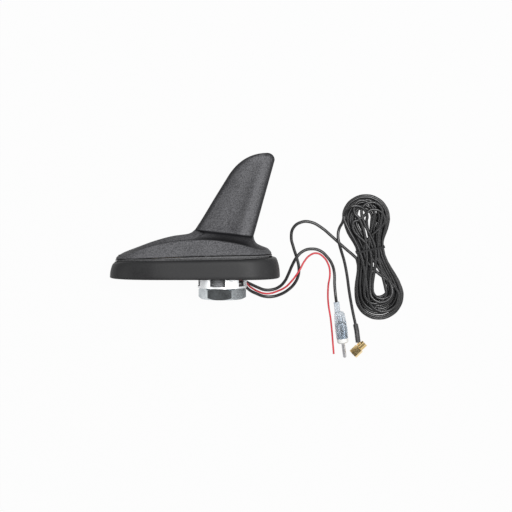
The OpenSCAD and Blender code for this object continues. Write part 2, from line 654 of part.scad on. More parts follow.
// Hank: two loops drawn in at the tie
upper_loop = [154, 4.5];
lower_loop = [167, -66.5];
waist = [158.2, -23.5];
waist_turn = 12;
module hank_half(loop) {
    hull() {
        translate([loop.x, loop.y, 0]) cylinder(h = hank_h, r = hank_r, $fn = 32);
        translate([waist.x, waist.y, 0]) cylinder(h = hank_h, r = waist_r, $fn = 32);
    }
}
module tie_frame() {
    translate([waist.x, waist.y, 0]) rotate([0, 0, waist_turn]) children();
}
module lead_hank() {
    color("#262628") difference() {
        union() {
            hank_half(upper_loop);
            hank_half(lower_loop);
        }
        tie_frame() translate([-waist_r - 8, -tie_w / 2 - fit, -1])
            cube([2 * waist_r + 16, tie_w + 2 * fit, tie_t + 1 + fit]);
        tie_frame() for (s = [-1, 1]) translate([s * (waist_r + 3.7) - 4, -tie_w / 2 - fit, -1])
            cube([8, tie_w + 2 * fit, hank_h + 2]);
    }
}
module hank_tie() {
    tie_top = hank_h + tie_t + 0.1;
    color("#1d1d1f") tie_frame() difference() {
        translate([-waist_r - tie_t + 0.2, -tie_w / 2, 0]) cube([2 * (waist_r + tie_t - 0.2), tie_w, tie_top]);
        translate([-waist_r + 0.2, -tie_w, tie_t]) cube([2 * (waist_r - 0.2), 2 * tie_w, hank_h - tie_t + 0.1]);
    }
}

// Radio plug: it lies on its widest part, with its axis along the sheath
plug_at = [129.2, -71.7, plug_d / 2];
plug_turn = 7.4;
neck_l = 10;
neck_r = 2.65;
// The neck stands off the plug's axis
neck_x = -1.4;
plug_r = plug_d / 2;
plug_bore = plug_r - 1.35;
barrel_r = plug_bore - 0.2;
module at_plug() {
    translate(plug_at) rotate([0, 0, plug_turn]) rotate([90, 0, 0]) children();
}
module plug_body() {
    color("#b7c0c8") at_plug() {
        translate([neck_x, 0, 0]) rotate_extrude($fn = 32) polygon([[0, 0], [neck_r - 0.3, 0],
            [neck_r, 0.4], [neck_r, neck_l], [0, neck_l]]);
        rotate_extrude($fn = 40) polygon([[0, neck_l - 0.8], [plug_r - 3, neck_l - 0.8], [plug_r - 1.7, neck_l],
            [plug_r - 1, neck_l + 1.6], [plug_r - 0.7, neck_l + 4], [plug_r, plug_l - 8], [plug_r - 0.4, plug_l],
            [plug_bore, plug_l], [plug_bore, neck_l + 9.4], [2.6, neck_l + 7.1], [2.6, neck_l + 2.2],
            [0, neck_l + 2.2]]);
    }
}
barrel_z = neck_l + 2.3;
module plug_barrel() {
    color("#9a9da1") at_plug() difference() {
        rotate_extrude($fn = 40) polygon([[0, barrel_z], [2.3, barrel_z], [2.3, barrel_z + 5],
            [barrel_r, barrel_z + 7.5], [barrel_r, plug_l - 0.1], [barrel_r - 0.8, plug_l - 0.1],
            [barrel_r - 0.8, barrel_z + 9], [0, barrel_z + 9]]);
        translate([0, -0.9, barrel_z + 10]) cube([barrel_r + 1, 1.8, 7]);
        translate([-0.9, 0, barrel_z + 10]) cube([1.8, barrel_r + 1, 7]);
    }
}
ring_r = plug_ring_d / 2;
pin_r = plug_pin_d / 2;
// The pin steps down to a thinner shank inside the ring
shank_r = pin_r - 0.6;
module plug_ring() {
    spigot_r = barrel_r - 0.9;
    color("#e6e6e2") at_plug() rotate_extrude($fn = 40) polygon([[shank_r + 0.03, plug_l - 4],
        [spigot_r, plug_l - 4], [spigot_r, plug_l], [ring_r - 0.5, plug_l], [ring_r, plug_l + 0.5],
        [ring_r, plug_l + plug_ring_t - 1], [ring_r - 1, plug_l + plug_ring_t],
        [shank_r + 0.03, plug_l + plug_ring_t]]);
}
module plug_pin() {
    pin_end = plug_l + plug_ring_t + plug_pin_l;
    color("#a7aaae") at_plug() rotate_extrude($fn = 32) polygon(concat(
        [[0, plug_l - 6], [shank_r, plug_l - 6], [shank_r, plug_l + plug_ring_t],
            [pin_r, plug_l + plug_ring_t]],
        [for (a = [0:15:90]) [pin_r * cos(a), pin_end - pin_r + pin_r * sin(a)]]));
}

// Satellite connector: the coupling nut lies on a flat, and the lead comes in at a right angle
elbow_at = [150.6, -113.8, coupling_af / 2];
elbow_turn = -46;
elbow_r = elbow_d / 2;
thread_r = coupling_thread / 2;
coupling_z = 1.8;
ferrule_z = -1;
module at_elbow() {
    translate(elbow_at) rotate([0, 0, elbow_turn]) rotate([90, 0, 0]) children();
}
neck_end = coupling_z + 3.4;
module connector_elbow() {
    color("#d8b566") at_elbow() difference() {
        union() {
            translate([0, 0, -5]) cylinder(h = 5 + coupling_z - 0.2, r = elbow_r, $fn = 40);
            translate([0, 0, 0]) cylinder(h = neck_end, r = 2.45, $fn = 32);
            translate([0, 0, coupling_z + 1.9]) cylinder(h = neck_end - coupling_z - 1.9, r = 2.85, $fn = 32);
            translate([0, 0, ferrule_z]) rotate([0, -90, 0]) cylinder(h = 4.4, r = 2.1, $fn = 32);
        }
        translate([0, 0, -1]) cylinder(h = neck_end + 2, r = 2, $fn = 32);
    }
}
module coupling_nut() {
    color("#dcbb6c") at_elbow() difference() {
        translate([0, 0, coupling_z]) cylinder(h = coupling_l, r = coupling_af / sqrt(3), $fn = 6);
        translate([0, 0, coupling_z + 1.8]) cylinder(h = coupling_l, r = thread_r, $fn = 40);
        translate([0, 0, coupling_z - 1]) cylinder(h = coupling_l, r = 2.55, $fn = 40);
    }
}
module connector_insulator() {
    color("#ecebe4") at_elbow() difference() {
        translate([0, 0, -0.98]) cylinder(h = neck_end + 1.2, r = 1.97, $fn = 32);
        translate([0, 0, -2]) cylinder(h = neck_end + 4, r = 0.5, $fn = 24);
    }
}
module connector_pin() {
    color("#e0c070") at_elbow() translate([0, 0, -0.9]) cylinder(h = neck_end + 3.4, r = 0.48, $fn = 24);
}

// The upright aerial laid on its far flank
module laid() {
    translate([lay_x, lay_y, lift]) rotate([-90 - skirt_draft, 0, 0]) children();
}

laid() fin_cover();
laid() base_plate();
laid() gasket_skirt();
laid() stud_casting();
laid() stud_seal();
laid() cable_grommet();
laid() clamp_collar();
laid() hex_nut();
laid() circuit_board();
laid() shield_can();
laid() satellite_patch();
laid() board_header();
laid() fin_board();
laid() fin_radiator();
laid() inner_leads();
laid() cover_screws();
laid() board_screws();
laid() casting_screws();
radio_lead();
power_wire();
satellite_lead();
lead_hank();
lead_tail();
hank_tie();
plug_body();
plug_barrel();
plug_ring();
plug_pin();
shrink_sleeve();
connector_elbow();
coupling_nut();
connector_insulator();
connector_pin();
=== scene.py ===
import math
import bpy
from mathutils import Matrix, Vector


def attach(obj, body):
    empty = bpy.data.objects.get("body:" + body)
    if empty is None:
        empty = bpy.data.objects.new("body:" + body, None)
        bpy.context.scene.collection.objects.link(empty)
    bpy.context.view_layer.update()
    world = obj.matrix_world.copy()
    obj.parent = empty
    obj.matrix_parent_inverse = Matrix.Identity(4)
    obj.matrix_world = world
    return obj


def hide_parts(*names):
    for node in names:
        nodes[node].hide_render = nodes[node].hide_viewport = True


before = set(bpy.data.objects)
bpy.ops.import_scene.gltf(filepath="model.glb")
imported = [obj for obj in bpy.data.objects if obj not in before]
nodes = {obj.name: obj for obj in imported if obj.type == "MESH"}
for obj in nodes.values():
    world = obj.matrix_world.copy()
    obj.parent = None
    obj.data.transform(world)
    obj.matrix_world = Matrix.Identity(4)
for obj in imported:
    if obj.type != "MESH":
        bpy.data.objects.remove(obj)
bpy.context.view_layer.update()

scene = bpy.context.scene
scene.view_settings.view_transform = "Standard"


# Camera. The aerial lies flat and is seen from above, 3.5 degrees over the level of its base, through
# a long lens.
camera = bpy.data.objects.new("camera", bpy.data.cameras.new("camera"))
scene.collection.objects.link(camera)
camera.location = (0.0544, 0.14793, 1.35323)
camera.rotation_euler = (math.radians(-7.5), 0, 0)
camera.data.sensor_width = 36
camera.data.lens = 105.06
camera.data.clip_start = 0.05
scene.camera = camera


# Radio lead. Thin round coax in a soft black vinyl sheath, from the grommet in the stud to the plug.
# It is one smooth curve with a round bevel, laid along the route of part.scad.
coax_radius = 0.0014
# A curve's bounds take in the size of its knots, so these are small and the bevel is given by them
knot_size = 0.001


def lay_lead(name, route, radius):
    """Lead of round section along a route of points, in metres."""
    curve = bpy.data.curves.new(name, "CURVE")
    curve.dimensions = "3D"
    curve.bevel_depth = radius / knot_size
    curve.bevel_resolution = 3
    curve.resolution_u = 6
    curve.use_fill_caps = True
    spline = curve.splines.new("BEZIER")
    spline.bezier_points.add(len(route) - 1)
    for knot, point in zip(spline.bezier_points, route):
        knot.co = point
        knot.handle_left_type = knot.handle_right_type = "AUTO"
        knot.radius = knot_size
    lead = bpy.data.objects.new(name, curve)
    scene.collection.objects.link(lead)
    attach(lead, "root")
    return lead


radio_route = [(0.0299, -0.0484, 0.0244), (0.0378, -0.0491, 0.0168), (0.0423, -0.0502, 0.0138),
    (0.0465, -0.053, 0.0108), (0.0515, -0.056, 0.0074), (0.056, -0.0585, 0.0044),
    (0.062, -0.061, 0.0026), (0.069, -0.061, 0.0018), (0.0755, -0.0585, 0.0016),
    (0.0805, -0.0535, 0.0018), (0.084, -0.0465, 0.0025), (0.0875, -0.038, 0.0038),
    (0.092, -0.030, 0.0045), (0.098, -0.025, 0.0028), (0.105, -0.0235, 0.0015),
    (0.1125, -0.025, 0.0015), (0.1195, -0.031, 0.0015), (0.124, -0.038, 0.0015),
    (0.126, -0.046, 0.0016), (0.1262, -0.056, 0.0036), (0.127, -0.0658, 0.0057),
    (0.1278, -0.07184, 0.0057)]
radio = lay_lead("radio_coax", radio_route, coax_radius)
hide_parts("radio_lead")


def effect(name, wave, inputs):
    """Shared surface effect: a group with number inputs and a Mask and a Normal for outputs."""
    group = bpy.data.node_groups.new(name, "ShaderNodeTree")
    for label, value in inputs.items():
        socket = group.interface.new_socket(name=label, in_out="INPUT", socket_type="NodeSocketFloat")
        socket.default_value = value
    group.interface.new_socket(name="Mask", in_out="OUTPUT", socket_type="NodeSocketFloat")
    group.interface.new_socket(name="Normal", in_out="OUTPUT", socket_type="NodeSocketVector")
    start, end = group.nodes.new("NodeGroupInput"), group.nodes.new("NodeGroupOutput")
    place = group.nodes.new("ShaderNodeTexCoord")
    mask, height = wave(group, start, place.outputs["Object"])
    bump = group.nodes.new("ShaderNodeBump")
    bump.inputs["Distance"].default_value = 0.001
    group.links.new(start.outputs["Depth"], bump.inputs["Strength"])
    group.links.new(height, bump.inputs["Height"])
    group.links.new(mask, end.inputs["Mask"])
    group.links.new(bump.outputs["Normal"], end.inputs["Normal"])
    return group


def noise(tree, place, scale, detail=3.0, rough=0.55):
    """Cloudy noise, whose scale is a number or comes from a socket."""
    cloud = tree.nodes.new("ShaderNodeTexNoise")
    cloud.inputs["Detail"].default_value = detail
    cloud.inputs["Roughness"].default_value = rough
    if isinstance(scale, (int, float)):
        cloud.inputs["Scale"].default_value = scale
    else:
        tree.links.new(scale, cloud.inputs["Scale"])
    tree.links.new(place, cloud.inputs["Vector"])
    return cloud.outputs["Fac"]


def spread(tree, value, low, high, to_low=0.0, to_high=1.0):
    """Value moved from one range to another, and kept inside it."""
    span = tree.nodes.new("ShaderNodeMapRange")
    for label, number in (("From Min", low), ("From Max", high), ("To Min", to_low), ("To Max", to_high)):
        span.inputs[label].default_value = number
    tree.links.new(value, span.inputs["Value"])
    return span.outputs["Result"]


def maths(tree, kind, a, b):
    """Sum of one kind on two numbers or sockets."""
    step = tree.nodes.new("ShaderNodeMath")
    step.operation = kind
    for i, value in enumerate((a, b)):
        if isinstance(value, (int, float)):
            step.inputs[i].default_value = value
        else:
            tree.links.new(value, step.inputs[i])
    return step.outputs[0]


def finish(name, colour, second, rough, rough_2, group, metallic=0.0, kept_mask=None, **settings):
    """Material whose colour and roughness run between two values by the mask of a shared effect."""
    material = bpy.data.materials.new(name)
    material.use_nodes = True
    tree = material.node_tree
    shader = tree.nodes["Principled BSDF"]
    look = tree.nodes.new("ShaderNodeGroup")
    look.node_tree = group
    mix = tree.nodes.new("ShaderNodeMix")
    mix.data_type = "RGBA"
    mix.inputs["A"].default_value = (*colour, 1)
    mix.inputs["B"].default_value = (*second, 1)
    share = look.outputs["Mask"]
    if kept_mask:
        own = tree.nodes.new("ShaderNodeAttribute")
        own.attribute_name = kept_mask
        share = maths(tree, "MULTIPLY", share, own.outputs["Fac"])
    tree.links.new(share, mix.inputs["Factor"])
    tree.links.new(mix.outputs["Result"], shader.inputs["Base Color"])
    tree.links.new(spread(tree, look.outputs["Mask"], 0, 1, rough, rough_2), shader.inputs["Roughness"])
    tree.links.new(look.outputs["Normal"], shader.inputs["Normal"])
    shader.inputs["Metallic"].default_value = metallic
    for label, value in settings.items():
        if label in look.inputs:
            look.inputs[label].default_value = value
        else:
            shader.inputs[label.replace("_", " ")].default_value = value
    return material


def sheath_wave(group, start, place):
    """Drawn vinyl: broad clouds of tone and a faint fine tooth."""
    cloud = noise(group, place, 60, 2.0)
    fine = noise(group, place, start.outputs["Scale"], 4.0, 0.6)
    return spread(group, cloud, 0.38, 0.66), fine


sheath = effect("soft_sheath", sheath_wave, {"Scale": 1500.0, "Depth": 0.012})
black_sheath = finish("black_sheath", (0.007, 0.007, 0.0075), (0.012, 0.012, 0.013), 0.3, 0.36, sheath)
radio.data.materials.append(black_sheath)


# Power wire. A single wire in a thin red vinyl sheath, cut off bare at its end. It leaves by the same
# grommet and lies beside the radio lead.
wire_radius = 0.00085
power_route = [(0.0333, -0.0484, 0.0279), (0.041, -0.0492, 0.0201), (0.045, -0.0518, 0.0168),
    (0.048, -0.0558, 0.0126), (0.0513, -0.0588, 0.0092), (0.0555, -0.0617, 0.0058),
    (0.0615, -0.0642, 0.0032), (0.0675, -0.0645, 0.0016), (0.074, -0.0625, 0.0012),
    (0.081, -0.059, 0.0016), (0.0865, -0.0535, 0.0028), (0.091, -0.0475, 0.004),
    (0.0945, -0.042, 0.004), (0.0985, -0.035, 0.0018), (0.1035, -0.0295, 0.0009),
    (0.1095, -0.0275, 0.0009), (0.1155, -0.0305, 0.0009), (0.1205, -0.038, 0.0009),
    (0.122, -0.046, 0.0009), (0.1205, -0.058, 0.0009), (0.1205, -0.072, 0.0009),
    (0.123, -0.089, 0.0009), (0.126, -0.121, 0.0009)]
power = lay_lead("power_lead", power_route, wire_radius)
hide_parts("power_wire")
red_sheath = finish("red_sheath", (0.56, 0.025, 0.04), (0.68, 0.05, 0.065), 0.36, 0.5, sheath, Scale=2200.0)
power.data.materials.append(red_sheath)


# Satellite lead. The same black coax, 3.5 m of it: out to the hank, round its fourteen turns, and back
# to the gold connector. Five turns wind inwards on the surface and five outwards on top of them, with
# shorter and shorter loops; four lie above and cross the others, and a strap holds all at the waist.
out_route = [(31.7, -51, 26.1), (39.6, -51.6, 18.5), (43.2, -53.4, 15.5), (46, -57.6, 11.8),
    (49.5, -61, 8.6), (54.5, -64, 5.2), (61.5, -67, 2.6), (69, -67.5, 1.6), (76.5, -65.5, 1.5),
    (83.5, -61.5, 1.5), (89.5, -55.5, 1.5), (93, -48, 1.5), (93.5, -40.5, 1.5), (91.5, -31.5, 1.5),
    (88.5, -22, 1.5), (86.5, -13, 1.5), (88.5, -4, 1.5), (95.5, 1, 1.5), (104.5, 1, 1.5),
    (114, -4, 1.5), (123.5, -12, 1.5), (132.5, -20.2, 1.5), (138, -25, 1.5), (143, -29.3, 1.5),
    (146.6, -33.4, 1.5)]
tail_route = [(133.2, 1.5, 3.2), (130, -5, 2.6), (129, -11.5, 3.6), (130, -18, 4.6), (132.3, -26, 3.2),
    (135, -35, 1.6), (137.6, -48, 1.5), (139.5, -61.5, 1.5), (142.5, -78.5, 1.5), (145.6, -93, 2.4)]
sleeve_route = [(146.8, -98.6, 2.75), (147.5, -104.5, 3.6), (148.2, -109.6, 4)]
# The middles of the two loops and of the waist between them, and the direction across the waist
upper, lower, waist = Vector((154, 4.5, 0)), Vector((167, -66.5, 0)), Vector((158.2, -23.5, 0))
across = Vector((math.cos(math.radians(12)), math.sin(math.radians(12)), 0))
# Each turn's radius at the folds and its height; the last entry is where the last turn ends
lanes = [(20.9, 1.45), (18.1, 1.5), (15.2, 1.45), (12.3, 1.5), (9.4, 1.6),
    (8.8, 4.25), (10.9, 4.2), (13.8, 4.3), (16.7, 4.2), (19.7, 4.2),
    (13.5, 6.8), (9.8, 6.9), (9.4, 6.7), (10.4, 6.8), (16.8, 6.6)]
turn_count, low_turns, flat_turns = 14, 5, 10
# How far each turn's folds stand off the middles of the loops, upper x and y, lower x and y. Smaller
# folds of the flat turns stand off more; the crossing turns are placed one by one.
outer_fold = 21
low_lean, high_lean = (0.18, 0.5, -0.08, 0.67), (-0.25, 0.1, -0.08, 0.67)
shifts = [[share * (outer_fold - fold) for share in lean]
    for lean, layer in ((low_lean, lanes[:low_turns]), (high_lean, lanes[low_turns:flat_turns]))
    for fold, rise in layer]
shifts += [(-5.5, 4.0, 3.8, 0.0), (5.0, 5.5, -4.0, 3.5), (7.3, -1.0, 2.5, 7.0), (-9.4, 1.5, 1.5, 5.0),
    (-3.0, -1.0, 0.0, 0.0)]
# Where each turn crosses the strap, on its way down and on its way up, from the middle of the waist
waist_down = [-11.3, -8.8, -6.3, -3.8, -1.3, -1.3, -3.8, -6.3, -8.8, -11.2, -9.6, -3.4, 4.6, -0.4, -8.0]
waist_up = [11.5, 9.0, 6.3, 3.8, 1.3, 1.3, 3.8, 6.3, 9.0, 11.4, -0.8, 7.2, -6.2, 2.6, 8.0]
# A turn as shares of its way: the loop that each share lies on, and the angle there
turn_marks = [(0.0, None, 0), (0.085, lower, 180), (0.135, lower, 210), (0.18, lower, 240),
    (0.225, lower, 270), (0.27, lower, 300), (0.315, lower, 330), (0.365, lower, 360),
    (0.42, lower, 380), (0.5, None, 0), (0.56, upper, -16), (0.61, upper, 2), (0.66, upper, 30),
    (0.705, upper, 60), (0.75, upper, 90), (0.795, upper, 120), (0.84, upper, 150),
    (0.89, upper, 180), (0.945, upper, 205)]
# A turn changes to the next lane on its last stretch; the first crossing turn takes a longer one
lane_change, first_crossing_change = 0.86, 0.72
crossing_sway, top_arch, fold_wobble, wobble_pace = 0.5, 1.1, 0.35, 5.1


def hank_point(turn, share, loop, angle):
    """Point of a turn of the hank, in mm."""
    begin = first_crossing_change if turn == flat_turns else lane_change
    change = min(1, max(0, (share - begin) / (1 - begin)))

    def blend(a, b):
        return a + (b - a) * change

    rise = blend(lanes[turn][1], lanes[turn + 1][1])
    if turn >= flat_turns:
        rise += crossing_sway * math.cos(2 * math.pi * share)
    if turn == turn_count - 1:
        rise += top_arch * (1 - math.cos(4 * math.pi * share))
    if loop is None:
        spot = waist + across * (waist_down[turn] if share == 0 else waist_up[turn])
    else:
        radius = blend(lanes[turn][0], lanes[turn + 1][0])
        radius += fold_wobble * math.sin(wobble_pace * (turn + share))
        first = 2 if loop is lower else 0
        shift = [blend(shifts[turn][first + i], shifts[turn + 1][first + i]) for i in (0, 1)]
        a = math.radians(angle)
        spot = loop + Vector((*shift, 0)) + Vector((math.cos(a), math.sin(a), 0)) * radius
    return (spot.x, spot.y, rise)


hank_route = [hank_point(turn, *mark) for turn in range(turn_count) for mark in turn_marks]
# The first turn starts from the incoming lead, and the last one leaves at the upper left
hank_route = hank_route[1:-3] + [(134.9, 9.6, 5.6)]
satellite_route = [Vector(p) / 1000 for p in out_route + hank_route + tail_route + sleeve_route]
satellite = lay_lead("satellite_coax", satellite_route, coax_radius)
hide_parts("satellite_lead", "lead_hank", "lead_tail")
satellite.data.materials.append(black_sheath)


# Cover. One hollow moulding of dark grained plastic, hump and fin together, which four screws hold from
# below. The crest of the hump runs up into the fin behind a crease, and the fin's faces are a little
# hollow. It is a loft through rings, which follow part.scad at a finer step.
quarter_steps, flank_steps = 16, 18


def outline(nose, tail, half, nose_l, tail_l, nose_p, tail_p, dish=0.0):
    """Closed outline, in mm, of two rounded ends and two flanks, which may be hollow."""
    side = []
    for i in range(quarter_steps):
        a = math.radians(90 * i / quarter_steps)
        side.append((nose + nose_l * (1 - math.cos(a) ** (2 / nose_p)), half * math.sin(a) ** (2 / nose_p)))
    for i in range(flank_steps + 1):
        t = i / flank_steps
        x = nose + nose_l + (tail - tail_l - nose - nose_l) * t
        side.append((x, half * (1 - dish * math.sin(math.pi * t))))
    for i in range(quarter_steps - 1, -1, -1):
        a = math.radians(90 * i / quarter_steps)
        side.append((tail - tail_l * (1 - math.cos(a) ** (2 / tail_p)), half * math.sin(a) ** (2 / tail_p)))
    return side + [(x, -y) for x, y in side[-2:0:-1]]


# The aerial leans by this angle as it lies; the stud's foot is at this place, in mm
lean = math.radians(4)
stud_x, stud_y, stud_z = 24.25, -45.187, 32.92


def laid(x, y, z):
    """A point of the upright aerial, in mm from the stud's foot, in the lying frame, in metres."""
    s, c = math.sin(lean), math.cos(lean)
    return ((stud_x + x) / 1000, (stud_y - y * s + z * c) / 1000, (stud_z - y * c - z * s) / 1000)


def loft(name, rings, closed_start=True, closed_end=True, sharp=40):
    """Smooth mesh through rings of upright points, with its ends closed."""
    n = len(rings[0])
    faces = []
    for j in range(len(rings) - 1):
        for k in range(n):
            a, b = j * n + k, j * n + (k + 1) % n
            faces.append((a, b, b + n, a + n))
    if closed_start:
        faces.append(tuple(range(n - 1, -1, -1)))
    if closed_end:
        faces.append(tuple((len(rings) - 1) * n + k for k in range(n)))
    mesh = bpy.data.meshes.new(name)
    mesh.from_pydata([laid(*p) for r in rings for p in r], [], faces)
    mesh.validate()
    mesh.shade_smooth()
    mesh.set_sharp_from_angle(angle=math.radians(sharp))
    piece = bpy.data.objects.new(name, mesh)
    scene.collection.objects.link(piece)
    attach(piece, "root")
    return piece


def eased(points, j):
    """Value of a given curve between its points, without corners."""
    i = min(int(j), len(points) - 2)
    f = j - i
    p = [points[max(0, min(len(points) - 1, i + d))] for d in (-1, 0, 1, 2)]
    return [0.5 * (2 * b + (c - a) * f + (2 * a - 5 * b + 4 * c - d) * f * f
        + (3 * b - a - 3 * c + d) * f ** 3) for a, b, c, d in zip(*p)]


def between(value, marks):
    """Value read off a line of (place, height) marks."""
    for (a, low), (b, high) in zip(marks, marks[1:]):
        if value <= b:
            return low + (high - low) * max(0, value - a) / (b - a)
    return marks[-1][1]


# The rim's outline, and its edge, which falls towards the nose
hump_nose, hump_tail, hump_half, hump_nose_l, hump_tail_l = -94.8, 44, 28, 45, 26
rim_rear, nose_fall = 21.6, 4.6


def cover_rim(draw=0.0):
    """Outline of the cover's rim, drawn in by some mm."""
    return outline(draw + hump_nose, hump_tail - draw, hump_half - draw, hump_nose_l, hump_tail_l, 2.3, 2.4)


def rim_z(x):
    return rim_rear - nose_fall * ((hump_tail - x) / (hump_tail - hump_nose)) ** 2


# The fin: its foot and top, its leading edge, which ends in an arc, and the round tip behind it
fin_foot, fin_top = 43, 111
edge_foot, edge_slope, arc_start, arc_pull = -24, 0.62, 90, 18.16
tip_x, tip_z, tip_radius = 40.39, 104.6, 6.4
foot_half, half_taper, crown_z, crown_share = 7.5, 3, 101, 0.86
# Its crest line falls to the tail by this slope at the foot, and not at all from this share up
foot_fall, level_share, foot_length = 0.115, 0.35, 52
# Its foot is undercut: how far the flank stands out at shares of its height
foot_marks = (0, 0.012, 0.03, 0.06, 0.11, 1)
foot_steps = ((0.6,), (0.95,), (0.7,), (0.25,), (0.0,), (0.0,))
face_dish = 0.26
# Its straight trailing edge: a point of it and its slope
trail_foot_x, trail_foot_z, trail_slope = 28, 37.02, 0.278


def trail_x(z):
    return trail_foot_x + trail_slope * (z - trail_foot_z)


def fin_ring(f):
    """Ring of the fin at a share of its height."""
    z = fin_foot + (fin_top - fin_foot) * f
    fall = foot_fall * max(0, 1 - f / level_share)
    nose = edge_foot + edge_slope * (z - fin_foot)
    if z >= arc_start:
        u = math.sqrt(max(0, fin_top - z) / (fin_top - arc_start))
        arc_foot = edge_foot + edge_slope * (arc_start - fin_foot)
        nose = u * u * arc_foot + 2 * u * (1 - u) * arc_pull + (1 - u) ** 2 * tip_x
    tail_z = z - fall * foot_length
    tail = trail_x(tail_z)
    if tail_z >= tip_z:
        tail = tip_x + math.sqrt(max(0, tip_radius ** 2 - (tail_z - tip_z) ** 2))
    crown = max(0, (z - crown_z) / (fin_top - crown_z))
    half = (foot_half - half_taper * f) * math.sqrt(1 - crown ** 2 * crown_share)
    i = next(i for i, mark in enumerate(foot_marks[1:]) if f <= mark)
    half += eased(foot_steps, i + (f - foot_marks[i]) / (foot_marks[i + 1] - foot_marks[i]))[0]
    dish = face_dish * min(1, max(0, (f - 0.03) / 0.05))
    chord = tail - nose
    plan = outline(nose, tail, half, min(5.5, chord * 0.4), min(4.5, chord * 0.3), 1.9, 2.0, dish)
    return [(x, y, z - fall * (x - edge_foot)) for x, y in plan]


# The crease along the hump's flank: its greatest height over the rim, where that is, and its half length
crease_height, crease_middle, crease_reach = 14.8, -25, 70


def crease_rise(x):
    """Height of the crease over the rim: it springs from the nose and sinks to the tail."""
    return crease_height * max(0, 1 - ((x - crease_middle) / crease_reach) ** 2)


# The hump's steps from the rim: the flank's end at the crease, the dip's end, the fin's root, the fin
flank_end, dip_end, root_start, hump_end = 3.4, 3.8, 7.2, 8.0
crease_in, crease_round, dip_width, dip_depth = 5.0, 0.35, 1.6, 0.1
root_overshoot, root_rise = 1.1, 0.86


def side_profile(j, x, y, root):
    """Shares of the way in and up from a point of the rim to its point at the fin's root."""
    reach, climb = math.hypot(root[0] - x, root[1] - y), root[2] - rim_z(x)
    turn = crease_in / reach
    crease_x = x + (root[0] - x) * turn
    crest = (rim_z(crease_x) + crease_rise(crease_x) - rim_z(x)) / climb
    dip, dip_in = crest - dip_depth / climb, turn + dip_width / reach
    if j <= flank_end:
        t = j / flank_end
        return turn * t ** 1.6, crest * t - crease_round / climb * max(0, t * 8 - 7)
    if j <= dip_end:
        t = (j - flank_end) / (dip_end - flank_end)
        return turn + (dip_in - turn) * t, crest + (dip - crest) * t
    if j <= root_start:
        t = (j - dip_end) / (root_start - dip_end)
        return dip_in + (root_overshoot - dip_in) * t, dip + (root_rise - dip) * t ** 2.7
    t = (j - root_start) / (hump_end - root_start)
    return root_overshoot + (1 - root_overshoot) * t * t, root_rise + (1 - root_rise) * t


# Shares of the way in and up, step by step, on the middle line before and behind the fin
nose_curve = [(0, 0), (0.012, 0.06), (0.035, 0.1), (0.1, 0.21), (0.25, 0.37), (0.48, 0.6), (0.71, 0.77),
    (0.92, 0.855), (1, 1)]
tail_curve = [(0, 0), (0.04, 0.1), (0.12, 0.2), (0.22, 0.3), (0.38, 0.37), (0.6, 0.46), (0.82, 0.58),
    (0.95, 0.77), (1, 1)]


def hump_ring(j):
    """Ring of the hump at a step between the rim and the fin's root."""
    ring = []
    for (x, y), root in zip(cover_rim(), fin_ring(0)):
        sideways = min(1, abs(y) / 23) ** 1.5
        rearward = min(1, max(0, (x + 30) / 40))
        ends = [a + (b - a) * rearward for a, b in zip(eased(nose_curve, j), eased(tail_curve, j))]
        flank = side_profile(j, x, y, root)
        h, v = [end + (side - end) * sideways for end, side in zip(ends, flank)]
        ring.append((x + (root[0] - x) * h, y + (root[1] - y) * h, rim_z(x) + (root[2] - rim_z(x)) * v))
    return ring


lip = [[(x, y, rim_z(x) + rise) for x, y in cover_rim(draw)]
    for draw, rise in ((2.2, 3.0), (2.2, 0.0), (0.4, 0.0), (0.12, 0.1), (0.0, 0.35))]
hump_steps = ([0.25 + 3.15 * i / 14 for i in range(14)] + [3.4, 3.6] + [3.8 + 0.2 * i for i in range(17)]
    + [7.2, 7.4, 7.7])
hump = [hump_ring(j) for j in hump_steps]
# The fin's rings stand closer at its undercut foot and round its top
fin_shares = ([i * 0.004 for i in range(20)] + [0.08 + i / 42 * 0.78 for i in range(42)]
    + [0.86 + 0.1398 * math.sin(math.radians(90 * i / 16)) for i in range(17)])
fin = [fin_ring(f) for f in fin_shares]
cover = loft("fin_cover_moulding", lip + hump + fin, closed_start=False)


def bell(distance, width):
    return math.exp(-(distance / width) ** 2)


# Painted light on the cover: its grain's light tone gives way to painted shade on the rims, in the crease,
# in the hollows of the fin's faces and under its foot, and rises to painted highlights on the fillet below
# the fin and near its trailing edge and top
crease_painted_light = ((3.1, 1.0), (3.4, 0.2), (4.4, 0.0), (5.6, 0.5), (6.6, 1.15), (7.1, 1.1), (7.3, 0.2), (8, 0.0))
painted_light_share = [0.8] * sum(len(ring) for ring in lip)
for j, ring in zip(hump_steps, hump):
    for (x, y, z), (rim_x, rim_y) in zip(ring, cover_rim()):
        # Painted shadow on the ledge under the fin's lip, stronger towards the tail
        under = between(x, ((-30, 0.0), (0, 0.75))) if j > flank_end else 0
        flank = 1.05 if j < 3.2 else between(j, crease_painted_light) * (1 - under)
        painted_light_share.append(1.05 + (flank - 1.05) * min(1, abs(rim_y) / 20) ** 2)
for f, ring in zip(fin_shares, fin):
    nose, tail = min(p[0] for p in ring), max(p[0] for p in ring)
    for x, y, z in ring:
        # Painted shade on the fin's leading and trailing edges, its top and its undercut foot
        rim = max(bell(x - nose, 4.0), bell(tail - x, 3.6), bell(fin_top - z, 2.4),
            bell(f, 0.006) * min(1, abs(y) / 4))
        # Painted highlight in a band before the trailing edge and in another below the top
        crown = 0.75 * bell(tail - x - 8.5, 3.6) + 0.3 * bell(fin_top - z - 5.5, 2.5)
        along = (x - nose) / (tail - nose)
        # Painted shade in two hollows along the fin's faces
        hollow = 0.3 * bell(along - 0.66, 0.11) + 0.22 * bell(along - 0.16, 0.12)
        painted_light_share.append((1.0 + crown - hollow) * (1 - 0.8 * rim))
kept = cover.data.attributes.new("painted_light_share", "FLOAT", "POINT")
kept.data.foreach_set("value", painted_light_share)
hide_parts("fin_cover")


